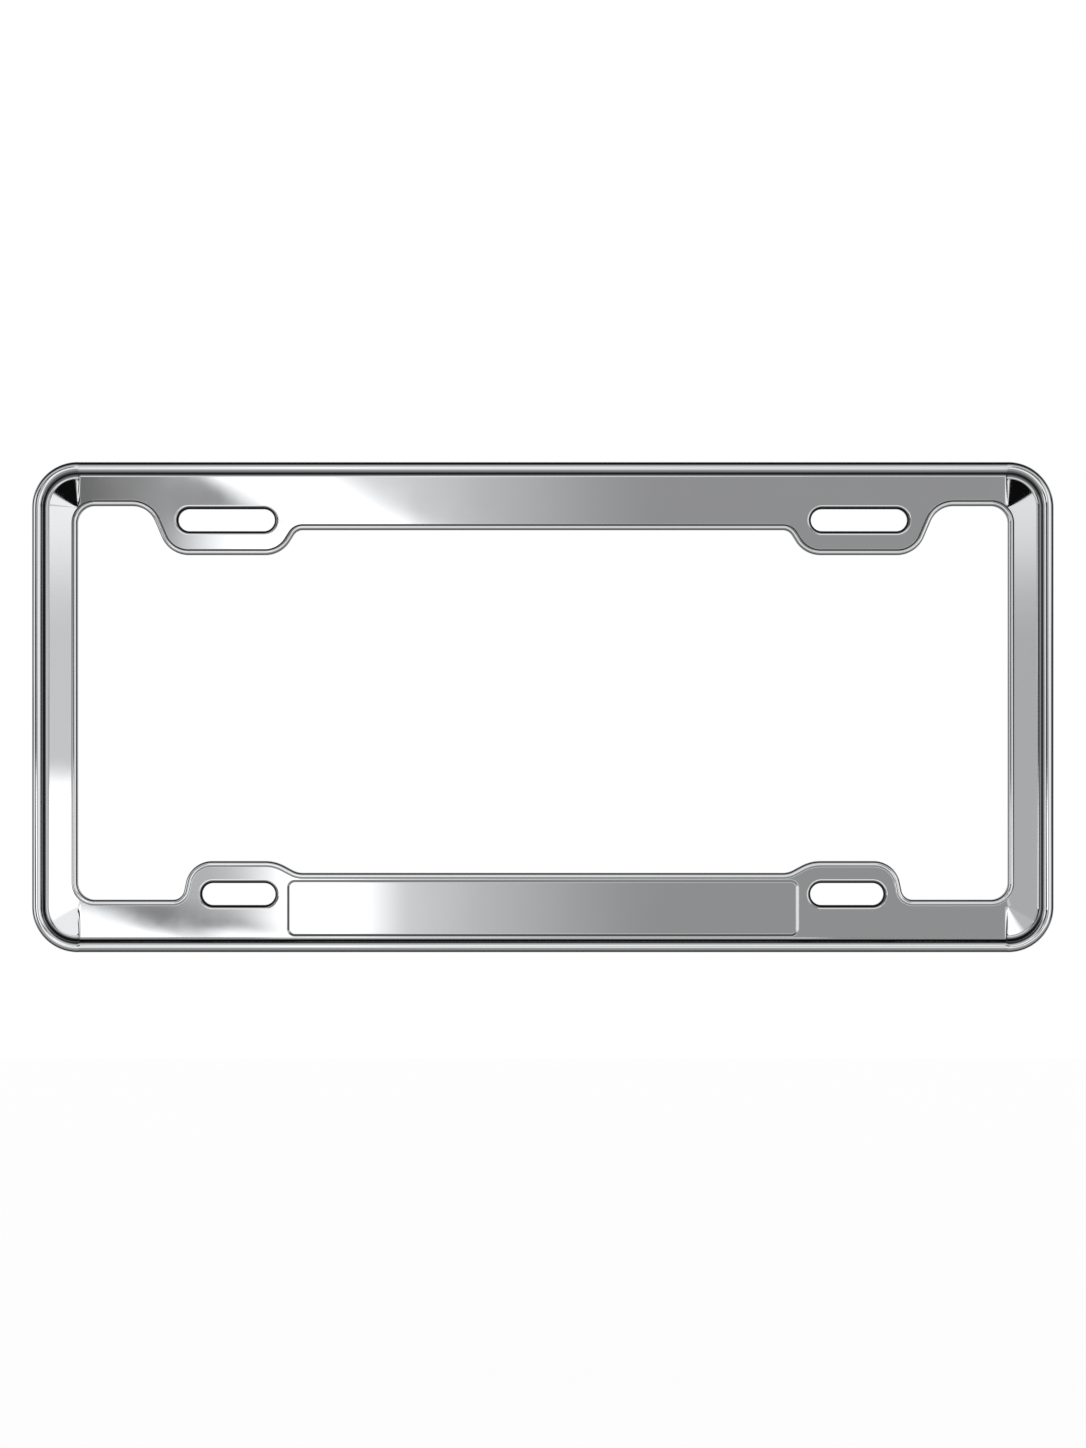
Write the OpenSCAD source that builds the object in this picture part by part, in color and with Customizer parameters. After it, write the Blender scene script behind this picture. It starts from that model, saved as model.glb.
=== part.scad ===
// Number plate frame: one bright-plated die casting that wraps the edge of a 12 x 6 inch
// plate and is held on by four screws through its slotted lugs.
// The casting is drawn lying on its back: x along its length, y up the plate and z from
// the back rim (0) to the crest of the front bead. frame() stands it up, front to -Y.

/* [Outline] */
// Overall length of the frame
frame_w = 327; // [322:1:345]
// Radius of the four outer corners, seen from the front
corner_r = 14.6; // [12:0.1:18]
// Width of the bars at the left and right
side_w = 14.5; // [13:0.1:17]
// Width of the top bar at its middle
top_w = 21.8; // [19:0.1:26]
// Width of the top bar beside the window's corners
top_end_w = 14.1; // [12:0.1:16]
// Width of the bottom bar at its middle
bottom_w = 25.4; // [23:0.1:26.5]
// Width of the bottom bar beside the window's corners
bottom_end_w = 16.8; // [14:0.1:19]
// Radius of the window's four corners
window_r = 5.5; // [4:0.1:8]

/* [Section] */
// Depth from the back rim to the crest of the front bead
depth = 8.5; // [7.5:0.1:12]
// Thickness of the outer wall round the plate's edge
wall = 2; // [1.2:0.1:2.6]
// Thickness of the bars' sheet, from the face to the seat of the plate
sheet = 2; // [1.6:0.1:2.6]
// Radius of the bead along the outer edge
bead_r = 1.9; // [1.6:0.1:2.4]
// Height of the bead's crest over the face of the top and bottom bars
bead_rise = 1.6; // [1.2:0.1:2]
// Radius of the cove between the bead and the top and bottom bars
cove_r = 1.4; // [1:0.1:2]
// Radius of the trough between the bead and the side bars
trough_r = 3.4; // [2.4:0.1:4.5]
// Outward fall of the side bars' face, in degrees
side_tilt = 6; // [3:0.5:8]
// Chamfer on both edges of the back rim
rim_chamfer = 0.4; // [0.2:0.1:0.5]
// How far the rounds cut past the surfaces they blend, which leaves a fine crease
crease = 0.03; // [0.02:0.01:0.06]

/* [Window lip] */
// Radius of the bead round the window
lip_r = 1.2; // [1:0.05:1.5]
// Height of that bead over the face
lip_rise = 0.35; // [0.2:0.05:0.6]

/* [Screw slots] */
// Distance between the middles of the two upper slots
upper_spacing = 202.6; // [196:0.2:212]
// Length of an upper slot
upper_slot_w = 30.8; // [26:0.2:32]
// Distance between the middles of the two lower slots
lower_spacing = 194.8; // [192:0.2:200]
// Length of a lower slot
lower_slot_w = 23.4; // [20:0.2:25]
// Height of every slot
slot_h = 7; // [6:0.1:7.6]
// Distance of both rows of slots from the plate's nearest long edge
row_inset = 16.3; // [15.5:0.1:18.5]
// Radius of the rounded front edge of a slot
slot_edge_r = 1.3; // [0.8:0.1:1.4]

/* [Lugs] */
// Metal between an upper slot and its lug's edge on the window
upper_web = 7.7; // [6:0.1:10.5]
// Metal between a lower slot and its lug's edge on the window
lower_web = 7.1; // [5.5:0.1:10.5]
// Tip of an upper lug, from the slot's middle to its corner towards the side bar
upper_tip_out = 18.3; // [17:0.1:21]
// Tip of an upper lug, from the slot's middle to its corner towards the middle
upper_tip_in = 17.5; // [17:0.1:22]
// Tip of a lower lug, from the slot's middle to its corner towards the side bar
lower_tip_out = 15.5; // [14.5:0.1:19]
// Tip of a lower lug, from the slot's middle to its corner towards the middle
lower_tip_in = 11.7; // [11:0.1:16]
// Sideways run of an upper lug's outer flank
upper_run_out = 6.7; // [5:0.1:9]
// Sideways run of an upper lug's inner flank
upper_run_in = 5; // [4:0.1:7]
// Sideways run of a lower lug's outer flank
lower_run_out = 2.6; // [1.5:0.1:6]
// Sideways run of a lower lug's inner flank
lower_run_in = 7.1; // [6:0.1:9]
// Radius at both corners of an upper lug's tip
upper_tip_r = 9.3; // [7:0.1:9.6]
// Radius at the root of an upper lug's outer flank
upper_root_out_r = 8; // [5:0.1:9]
// Radius at the root of an upper lug's inner flank
upper_root_in_r = 3.4; // [2.6:0.1:5]
// Radius at the outer corner of a lower lug's tip
lower_tip_out_r = 8.5; // [6:0.1:9.5]
// Radius at the inner corner of a lower lug's tip
lower_tip_in_r = 12.8; // [8:0.1:15]
// Radius at the root of a lower lug's outer flank
lower_root_out_r = 3.7; // [2.6:0.1:5]
// Radius at the root of a lower lug's inner flank
lower_root_in_r = 7; // [4:0.1:9]

/* [Name panel] */
// Length of the sunk, bare panel in the bottom bar
panel_w = 164; // [120:1:166]
// Depth of the panel below the face
panel_depth = 0.6; // [0.3:0.1:0.8]
// Width of the slope round the panel, from the face down to its floor
panel_slope = 1; // [0.4:0.1:1.4]
// Radius of the panel's corners, in the face
panel_r = 2.6; // [1.6:0.1:5]
// Land of plain face between the panel and the rounds above and below it
panel_land = 0.4; // [0.2:0.1:1.5]

/* [Plate] */
// Length of the plate that the frame takes
plate_w = 304.8; // [301:0.1:306]
// Height of that plate, which the frame wraps closely
plate_h = 152.4; // [151:0.1:156]
// Radius of the plate's corners
plate_corner_r = 12.7; // [10:0.1:15]
// Clearance between the plate's edges and the frame
plate_gap = 0.3; // [0.2:0.1:0.8]

/* [Hidden] */
$fn = 96;

// Overall height of the frame, from the plate inside its wall
frame_h = plate_h + 2 * (plate_gap + wall);

// Levels over the back rim
face_z = depth - bead_rise;
seat_z = face_z - sheet;
bead_z = depth - bead_r;
lip_z = face_z + lip_rise - lip_r;
over = 1;

// The corners turn about a point that is corner_r in from both edges, and the side bars'
// sloping face is creased there
corner_x = frame_w / 2 - corner_r;
corner_y = frame_h / 2 - corner_r;
// Where the hollow behind a side bar leaves the plate's seat, in from the outer edge
land_u = (frame_w - plate_w) / 2 - plate_gap;

// Middles of the slots on the right
upper_x = upper_spacing / 2;
lower_x = lower_spacing / 2;
row_y = plate_h / 2 - row_inset;

// Window edges
window_x = frame_w / 2 - side_w;
top_y = frame_h / 2 - top_w;
top_end_y = frame_h / 2 - top_end_w;
upper_tip_y = row_y - slot_h / 2 - upper_web;
bottom_y = bottom_w - frame_h / 2;
bottom_end_y = bottom_end_w - frame_h / 2;
lower_tip_y = slot_h / 2 + lower_web - row_y;

// The right half of the window's edge, clockwise from the middle of the top bar to the
// middle of the bottom bar, as corners with their radii
window_path = [
    [0, top_y, 0],
    [upper_x - upper_tip_in - upper_run_in, top_y, upper_root_in_r],
    [upper_x - upper_tip_in, upper_tip_y, upper_tip_r],
    [upper_x + upper_tip_out, upper_tip_y, upper_tip_r],
    [upper_x + upper_tip_out + upper_run_out, top_end_y, upper_root_out_r],
    [window_x, top_end_y, window_r],
    [window_x, bottom_end_y, window_r],
    [lower_x + lower_tip_out + lower_run_out, bottom_end_y, lower_root_out_r],
    [lower_x + lower_tip_out, lower_tip_y, lower_tip_out_r],
    [lower_x - lower_tip_in, lower_tip_y, lower_tip_in_r],
    [lower_x - lower_tip_in - lower_run_in, bottom_y, lower_root_in_r],
    [0, bottom_y, 0]
];

// The edge of a round-cornered hole from -x to x and low to high, clockwise from the
// middle of its upper side
function ring_path(x, low, high, r) =
    [[0, high, 0], [x, high, r], [x, low, r], [-x, low, r], [-x, high, r], [0, high, 0]];

// Geometry of a path of corners
function spot(path, i) = [path[i].x, path[i].y];
function leg(path, i) = spot(path, i + 1) - spot(path, i);
function heading(path, i) = atan2(leg(path, i).y, leg(path, i).x);
function along(angle) = [cos(angle), sin(angle)];
function turn(path, i) = asin(cross(leg(path, i - 1), leg(path, i)) / norm(leg(path, i - 1)) / norm(leg(path, i)));
function side(path, i) = sign(turn(path, i));
function setback(path, i) = i == 0 || i == len(path) - 1 ? 0 : path[i][2] * tan(abs(turn(path, i)) / 2);
function arc_middle(path, i) =
    -setback(path, i) * along(heading(path, i - 1))
    + side(path, i) * path[i][2] * along(heading(path, i - 1) + 90);
function arc_start(path, i) = heading(path, i - 1) - side(path, i) * 90;

// Points of the path moved out by v, with the rounds in steps of 30 degrees at most
function moved_arc(path, i, v) = [
    for (k = [0 : ceil(abs(turn(path, i)) / 30)])
        spot(path, i) + arc_middle(path, i) + (path[i][2] - side(path, i) * v)
            * along(arc_start(path, i) + turn(path, i) * k / ceil(abs(turn(path, i)) / 30))
];
function moved_path(path, v) = [for (i = [1 : len(path) - 2]) each moved_arc(path, i, v)];

// Moves by whole millimetres and then by the rest, so that no digit of the place is lost
module place(p) {
    whole = [floor(p.x), floor(p.y), 0];
    translate(whole) translate([p.x, p.y, 0] - whole) children();
}

// Draws its section out to the left of a straight run, from the start along +x
module straight(length) {
    whole = floor(length);
    rotate([90, 0, 90]) linear_extrude(whole) children();
    translate([whole, 0, 0]) rotate([90, 0, 90]) linear_extrude(length - whole) children();
}

// Carries a section along a path: its x points out to the left and its y up
module follow(path) {
    for (i = [0 : len(path) - 2]) {
        length = norm(leg(path, i)) - setback(path, i) - setback(path, i + 1);
        if (length > crease)
            translate(spot(path, i))
                place(setback(path, i) * along(heading(path, i)))
                    rotate([0, 0, heading(path, i)]) straight(length) children();
    }
    for (i = [1 : len(path) - 2])
        translate(spot(path, i))
            place(arc_middle(path, i))
                rotate([0, 0, min(arc_start(path, i), arc_start(path, i) + turn(path, i))])
                    rotate_extrude(angle = abs(turn(path, i)))
                        translate([path[i][2], 0]) mirror([side(path, i) > 0 ? 1 : 0, 0]) children();
}

module both_ways() {
    children();
    mirror([1, 0, 0]) children();
}

// Section of the rim: the outer wall and bead, the bar that leaves it and a cove of the
// given radius, with its centre at middle
module rim_section(bar_points, middle, radius) {
    difference() {
        union() {
            polygon(concat(
                [[rim_chamfer, 0], [wall - rim_chamfer, 0], [wall, rim_chamfer]], bar_points,
                [middle, [bead_r, bead_z], [0, bead_z], [0, rim_chamfer]]));
            translate([bead_r, bead_z]) circle(r = bead_r);
        }
        translate(middle) circle(r = radius);
    }
}

// Where the centre of a round lies that touches the bead, at a given height over its centre
function reach_from_bead(radius, rise) = bead_r + sqrt(pow(bead_r + radius - crease, 2) - pow(rise, 2));

// Top and bottom bars: flat face, w wide
module flat_section(w) {
    middle_z = face_z + cove_r - crease;
    middle = [reach_from_bead(cove_r, middle_z - bead_z), middle_z];
    rim_section([[wall, seat_z], [w, seat_z], [w, face_z], [middle.x, face_z]], middle, cove_r);
}

// Side bars and corners: the face falls outwards from the crease at corner_r to a trough
function fall(u) = (corner_r - u) * tan(side_tilt);
function trough_z(u) = face_z - fall(u) + (trough_r - crease) / cos(side_tilt);
function trough_error(u) = reach_from_bead(trough_r, trough_z(u) - bead_z) - u;
// The trough's centre is found by halving the span that holds it
function trough_u(low, high, steps) =
    steps == 0 ? low
    : trough_error((low + high) / 2) > 0 ? trough_u((low + high) / 2, high, steps - 1)
    : trough_u(low, (low + high) / 2, steps - 1);

module sloping_section(w) {
    u = trough_u(bead_r, bead_r + trough_r + bead_r, 30);
    foot_u = u + trough_r * sin(side_tilt);
    hollow_z = seat_z - (land_u - wall) * tan(side_tilt);
    crest = w > corner_r ? [[w, face_z], [corner_r, face_z]] : [[w, face_z - fall(w)]];
    rim_section(
        concat([[wall, hollow_z], [land_u, seat_z], [w, seat_z]], crest, [[foot_u, face_z - fall(foot_u)]]),
        [u, trough_z(u)], trough_r);
}

module side_bar() {
    inner = max(side_w, corner_r) + lip_r;
    translate([frame_w / 2, -corner_y, 0]) rotate([0, 0, 90])
        rotate([90, 0, 90]) linear_extrude(2 * corner_y) sloping_section(inner);
    for (end = [0, 1])
        mirror([0, end, 0]) translate([corner_x, corner_y, 0])
            rotate_extrude(angle = 90) intersection() {
                translate([corner_r, 0]) mirror([1, 0]) sloping_section(corner_r + over);
                translate([0, -over]) square([corner_r + over, depth + 2 * over]);
            }
}

module long_bar(w) {
    translate([corner_x, frame_h / 2, 0]) rotate([0, 0, 180])
        rotate([90, 0, 90]) linear_extrude(2 * corner_x) flat_section(w);
}

// The opening, cut back under the lip
module window_cut() {
    right = moved_path(window_path, lip_r * 0.9);
    left = [for (i = [len(right) - 1 : -1 : 0]) [-right[i].x, right[i].y]];
    translate([0, 0, -over]) linear_extrude(depth + 2 * over) polygon(concat(right, left));
}

// Relief behind the corners for those of the plate
module plate_corner_cut() {
    for (x = [-1, 1], y = [-1, 1])
        translate([x * (plate_w / 2 - plate_corner_r), y * (plate_h / 2 - plate_corner_r), -over])
            cylinder(r = plate_corner_r + plate_gap / 2, h = seat_z + over);
}

// The sunk panel: its floor, and the slope from there up past the face
module panel_cut() {
    cove_end = reach_from_bead(cove_r, face_z + cove_r - crease - bead_z);
    x = panel_w / 2 - panel_slope;
    low = cove_end + panel_land + panel_slope - frame_h / 2;
    high = bottom_y - lip_width() - panel_land - panel_slope;
    r = panel_r - panel_slope;
    floor_z = face_z - panel_depth;
    translate([0, 0, floor_z]) linear_extrude(depth) {
        translate([r - x, low]) square([2 * (x - r), high - low]);
        translate([-x, low + r]) square([2 * x, high - low - 2 * r]);
        for (side_x = [r - x, x - r], y = [low + r, high - r])
            translate([side_x, y]) circle(r = r);
    }
    follow(ring_path(x, low, high, r))
        translate([0, floor_z]) polygon([
            [-crease, crease], crease / panel_depth * [panel_slope, panel_depth],
            1.2 * [panel_slope, panel_depth], [-crease, 1.2 * panel_depth]]);
}

// Width of the lip where its bead meets the face
function lip_width() = lip_r + sqrt(pow(lip_r, 2) - pow(face_z - lip_z, 2));

module lip() {
    both_ways() follow(window_path) {
        union() {
            translate([0, seat_z]) square([lip_r * 1.4, lip_z - seat_z]);
            translate([lip_r, lip_z]) circle(r = lip_r);
        }
    }
}

// A slot with its front edge rounded over
module slot_cut(w) {
    straight_w = w - slot_h;
    translate([0, 0, -over]) linear_extrude(depth + 2 * over) {
        square([straight_w, slot_h], center = true);
        for (x = [-1, 1])
            translate([x * straight_w / 2, 0]) circle(r = slot_h / 2);
    }
    follow(ring_path(w / 2, -slot_h / 2, slot_h / 2, slot_h / 2)) {
        difference() {
            translate([-crease, face_z - slot_edge_r])
                square([slot_edge_r + crease, slot_edge_r + over]);
            translate([slot_edge_r, face_z - slot_edge_r]) circle(r = slot_edge_r + crease);
        }
    }
}

module slots() {
    both_ways() {
        translate([upper_x, row_y, 0]) slot_cut(upper_slot_w);
        translate([lower_x, -row_y, 0]) slot_cut(lower_slot_w);
    }
}

module casting() {
    difference() {
        union() {
            difference() {
                union() {
                    both_ways() side_bar();
                    long_bar(frame_h / 2 - upper_tip_y);
                    mirror([0, 1, 0]) long_bar(frame_h / 2 + lower_tip_y);
                }
                window_cut();
                plate_corner_cut();
                panel_cut();
            }
            lip();
        }
        slots();
    }
}

module frame() {
    color("silver") rotate([90, 0, 0]) translate([0, 0, -depth / 2]) casting();
}

frame();
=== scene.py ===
import logging
import math
from dataclasses import dataclass
from enum import Enum
from typing import Any, Callable

import bmesh
import bpy
import numpy as np
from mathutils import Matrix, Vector
from mathutils.geometry import delaunay_2d_cdt


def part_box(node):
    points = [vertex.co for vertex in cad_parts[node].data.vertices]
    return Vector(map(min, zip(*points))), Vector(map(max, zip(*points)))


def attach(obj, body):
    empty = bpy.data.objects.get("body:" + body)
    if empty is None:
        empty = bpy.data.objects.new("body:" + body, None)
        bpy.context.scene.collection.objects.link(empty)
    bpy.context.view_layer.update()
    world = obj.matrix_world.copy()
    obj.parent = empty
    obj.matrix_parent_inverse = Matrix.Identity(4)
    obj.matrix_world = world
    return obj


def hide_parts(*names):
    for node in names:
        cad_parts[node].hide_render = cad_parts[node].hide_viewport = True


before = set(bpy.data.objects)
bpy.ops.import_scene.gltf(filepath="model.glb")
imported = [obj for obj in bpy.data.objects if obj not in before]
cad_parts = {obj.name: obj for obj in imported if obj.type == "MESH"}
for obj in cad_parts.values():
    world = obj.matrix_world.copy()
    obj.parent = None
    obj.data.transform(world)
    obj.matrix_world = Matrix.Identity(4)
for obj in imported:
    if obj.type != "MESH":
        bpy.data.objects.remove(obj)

LOG = logging.getLogger("plate_frame")
MM = 0.001

# A corner of a path: x, y and the radius of its round, in millimetres
Corner = tuple[float, float, float]
# A point of a section: how far in from the path, and the height over the back rim
SectionPoint = tuple[float, float]
# A face by the numbers of its points
Face = tuple[int, ...]
# Gives the height of a sheet at points of the plan
Height = Callable[[np.ndarray, np.ndarray], np.ndarray]
Colour = tuple[float, float, float, float]
WHITE: Colour = (1.0, 1.0, 1.0, 1.0)


class Side(Enum):
    """Which way a sheet of the casting faces."""

    FRONT = 1.0
    BACK = -1.0


class Mark(Enum):
    """Point attributes of the casting that its finish reads."""

    # Where shade is painted dark into the finish, from 0 to 1
    PAINTED_SHADE = "painted_shade"
    BACK = "back"


@dataclass(frozen=True)
class LugSizes:
    """A lug's feet and tips, measured from the middle of its slot, with the radii of their rounds."""

    inner_foot: float
    inner_foot_r: float
    inner_tip: float
    inner_tip_r: float
    outer_tip: float
    outer_tip_r: float
    outer_foot: float
    outer_foot_r: float

    def corners(self, middle: float, inner_y: float, tip_y: float, outer_y: float) -> list[Corner]:
        """Corners of the lug on the right of the plate, from its inner foot to its outer one.

        Args:
            middle: The middle of its slot.
            inner_y: The window's edge on the inner side.
            tip_y: The lug's end.
            outer_y: The window's edge on the outer side.

        Returns:
            The corners.
        """
        return [
            (middle - self.inner_foot, inner_y, self.inner_foot_r),
            (middle - self.inner_tip, tip_y, self.inner_tip_r),
            (middle + self.outer_tip, tip_y, self.outer_tip_r),
            (middle + self.outer_foot, outer_y, self.outer_foot_r),
        ]


@dataclass(frozen=True)
class CastingSizes:
    """Sizes of the casting in millimetres, lying on its back.

    x runs along its length, y up the plate and z from the back rim to the crest of the bead.
    """

    TROUGH_HALVINGS = 40

    length: float
    height: float
    depth: float
    corner_r: float = 14.6
    side_w: float = 14.5
    top_w: float = 21.8
    top_end_w: float = 14.1
    bottom_w: float = 25.4
    bottom_end_w: float = 16.8
    window_r: float = 5.5
    wall: float = 2.0
    sheet: float = 2.0
    rim_chamfer: float = 0.4
    bead_r: float = 2.0
    side_bead_r: float = 1.8
    bead_rise: float = 1.6
    cove_r: float = 1.3
    trough_r: float = 1.8
    side_tilt: float = math.radians(6.0)
    hip_w: float = 1.0
    lip_r: float = 1.0
    lip_rise: float = 0.38
    lip_fillet_r: float = 0.35
    upper_spacing: float = 202.6
    upper_slot_w: float = 30.8
    lower_spacing: float = 194.8
    lower_slot_w: float = 23.4
    slot_h: float = 7.0
    slot_edge_r: float = 1.3
    row_y: float = 59.9
    upper_tip_y: float = 48.7
    lower_tip_y: float = -49.3
    upper_lug: LugSizes = LugSizes(
        inner_foot=22.5, inner_foot_r=3.4, inner_tip=17.5, inner_tip_r=9.3,
        outer_tip=18.3, outer_tip_r=9.3, outer_foot=25.0, outer_foot_r=8.0)
    lower_lug: LugSizes = LugSizes(
        inner_foot=18.8, inner_foot_r=7.0, inner_tip=11.7, inner_tip_r=12.8,
        outer_tip=15.5, outer_tip_r=8.5, outer_foot=18.1, outer_foot_r=3.7)
    panel_w: float = 164.0
    panel_depth: float = 0.6
    panel_r: float = 2.6
    panel_slope: float = 1.0
    panel_tilt: float = math.radians(38.0)
    panel_land: float = 0.15
    plate_land: float = 10.8

    @property
    def corner_x(self) -> float:
        """Middle of the right corners' rounds, where the side bars' fall begins."""
        return self.length / 2 - self.corner_r

    @property
    def corner_y(self) -> float:
        """Middle of the upper corners' rounds."""
        return self.height / 2 - self.corner_r

    @property
    def face_z(self) -> float:
        """Height of the face of the top and bottom bars."""
        return self.depth - self.bead_rise

    @property
    def seat_z(self) -> float:
        """Height of the plate's seat, behind the bars."""
        return self.face_z - self.sheet

    @property
    def lip_z(self) -> float:
        """Height of the middle of the window's bead."""
        return self.face_z + self.lip_rise - self.lip_r

    @property
    def lip_foot(self) -> float:
        """Distance from the window's edge to the foot of its bead's fillet."""
        rise = self.face_z + self.lip_fillet_r - self.lip_z
        return self.lip_r + math.sqrt((self.lip_r + self.lip_fillet_r) ** 2 - rise ** 2)

    @property
    def bottom_y(self) -> float:
        """Edge of the window over the middle of the bottom bar."""
        return self.bottom_w - self.height / 2

    @property
    def cove(self) -> SectionPoint:
        """Centre of the cove between the bead and the face of the top and bottom bars."""
        rise = self.cove_r - self.bead_rise + self.bead_r
        u = self.bead_r + math.sqrt((self.bead_r + self.cove_r) ** 2 - rise ** 2)
        return u, self.face_z + self.cove_r

    @property
    def trough(self) -> SectionPoint:
        """Centre of the trough between the bead and the sloping face, by halving its span."""
        bead = self.side_bead_r
        low, high = bead, bead + 2 * self.trough_r
        u = z = 0.0
        for _ in range(self.TROUGH_HALVINGS):
            u = (low + high) / 2
            z = self.face_z - self.fall(self.corner_r - u) + self.trough_r / math.cos(self.side_tilt)
            if math.hypot(u - bead, z - self.depth + bead) < bead + self.trough_r:
                low = u
            else:
                high = u
        return u, z

    def fall(self, out: float) -> float:
        """Fall of the side bars' face at a distance out from the crease."""
        return out * math.tan(self.side_tilt)

    def share(self, x: np.ndarray) -> np.ndarray:
        """Share of the side bars' section in the bars at x: 0 along the bars and 1 past the hip."""
        run = (np.abs(x) - self.corner_x + self.hip_w) / self.hip_w
        return np.clip(run, 0.0, 1.0) ** 2

    def out_from_crease(self, x: np.ndarray, y: np.ndarray) -> np.ndarray:
        """Distance out from the crease, which turns about the corners' middles."""
        dx = np.maximum(np.abs(x) - self.corner_x, 0.0)
        dy = np.maximum(np.abs(y) - self.corner_y, 0.0)
        return np.hypot(dx, dy)

    def front_height(self, x: np.ndarray, y: np.ndarray) -> np.ndarray:
        """Height of the bars' face at points of the plan."""
        return self.face_z - self.share(x) * self.fall(1.0) * self.out_from_crease(x, y)

    def back_height(self, x: np.ndarray, y: np.ndarray) -> np.ndarray:
        """Height of the hollow behind the bars at points of the plan."""
        past = np.maximum(self.out_from_crease(x, y) - (self.corner_r - self.plate_land), 0.0)
        return self.seat_z - self.share(x) * self.fall(1.0) * past

    def panel_height(self, x: np.ndarray, y: np.ndarray) -> np.ndarray:
        """Height of the sunk panel's floor."""
        return np.full_like(x, self.face_z - self.panel_depth)


def arc(centre: SectionPoint, radius: float, start: float, end: float, steps: int) -> list[SectionPoint]:
    """Points along an arc.

    Args:
        centre: Middle of the arc.
        radius: Its radius.
        start: Angle of the first point, in degrees.
        end: Angle of the last point, in degrees.
        steps: Number of chords.

    Returns:
        The points, ends included.
    """
    angles = [math.radians(start + (end - start) * k / steps) for k in range(steps + 1)]
    return [(centre[0] + radius * math.cos(a), centre[1] + radius * math.sin(a)) for a in angles]


class Sections:
    """The sections that are carried round the casting, from the back to the front face."""

    BEAD_STEPS = 26
    HOLLOW_STEPS = 18
    LIP_STEPS = 22
    FILLET_STEPS = 5
    EDGE_STEPS = 12

    def __init__(self, sizes: CastingSizes) -> None:
        """Keeps the sizes."""
        self.sizes = sizes

    def rim(self, sloping: bool) -> list[SectionPoint]:
        """Section of the rim: hollow side, back edge, outer wall, bead, and cove or trough.

        Args:
            sloping: Whether this is the section of the side bars and corners.

        Returns:
            The section's points; both kinds have as many.
        """
        s = self.sizes
        centre = s.trough if sloping else s.cove
        radius = s.trough_r if sloping else s.cove_r
        seat = s.seat_z - (s.fall(s.plate_land - s.wall) if sloping else 0.0)
        foot = 270.0 + (math.degrees(s.side_tilt) if sloping else 0.0)
        bead_r = s.side_bead_r if sloping else s.bead_r
        bead_z = s.depth - bead_r
        toward = math.degrees(math.atan2(centre[1] - bead_z, centre[0] - bead_r))
        back = [
            (s.wall, seat), (s.wall, s.rim_chamfer), (s.wall - s.rim_chamfer, 0.0),
            (s.rim_chamfer, 0.0), (0.0, s.rim_chamfer),
        ]
        bead = arc((bead_r, bead_z), bead_r, 180.0, toward, self.BEAD_STEPS)
        hollow = arc(centre, radius, toward + 180.0, foot, self.HOLLOW_STEPS)
        return back + bead + hollow[1:]

    def lip(self) -> list[SectionPoint]:
        """Section of the bead round the window, with a small fillet on the face."""
        s = self.sizes
        rise = s.face_z + s.lip_fillet_r - s.lip_z
        run = s.lip_foot - s.lip_r
        meet = math.degrees(math.atan2(rise, run))
        bead = arc((s.lip_r, s.lip_z), s.lip_r, 180.0, meet, self.LIP_STEPS)
        fillet = arc((s.lip_r + run, s.face_z + s.lip_fillet_r), s.lip_fillet_r, meet + 180.0, 270.0,
                     self.FILLET_STEPS)
        return [(0.0, s.seat_z)] + bead + fillet[1:]

    def slot(self) -> list[SectionPoint]:
        """Section of a slot's wall and its rounded front edge."""
        s = self.sizes
        edge = arc((s.slot_edge_r, s.face_z - s.slot_edge_r), s.slot_edge_r, 180.0, 90.0, self.EDGE_STEPS)
        return [(0.0, s.seat_z)] + edge

    def panel(self) -> list[SectionPoint]:
        """Section of the sunk panel's edge: a slope with equal rounds at its floor and at the face."""
        s = self.sizes
        sin, cos = math.sin(s.panel_tilt), math.cos(s.panel_tilt)
        # The straight part and the rounds' radius that give the slope its width and its depth
        flat = (s.panel_slope * (1.0 - cos) - s.panel_depth * sin) / (cos - 1.0)
        r = (s.panel_slope - flat * cos) / (2.0 * sin)
        turn = math.degrees(s.panel_tilt)
        floor = s.face_z - s.panel_depth
        return (arc((-s.panel_slope, floor + r), r, 270.0, 270.0 + turn, self.FILLET_STEPS)
                + arc((0.0, s.face_z - r), r, 90.0 + turn, 90.0, self.FILLET_STEPS))


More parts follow.
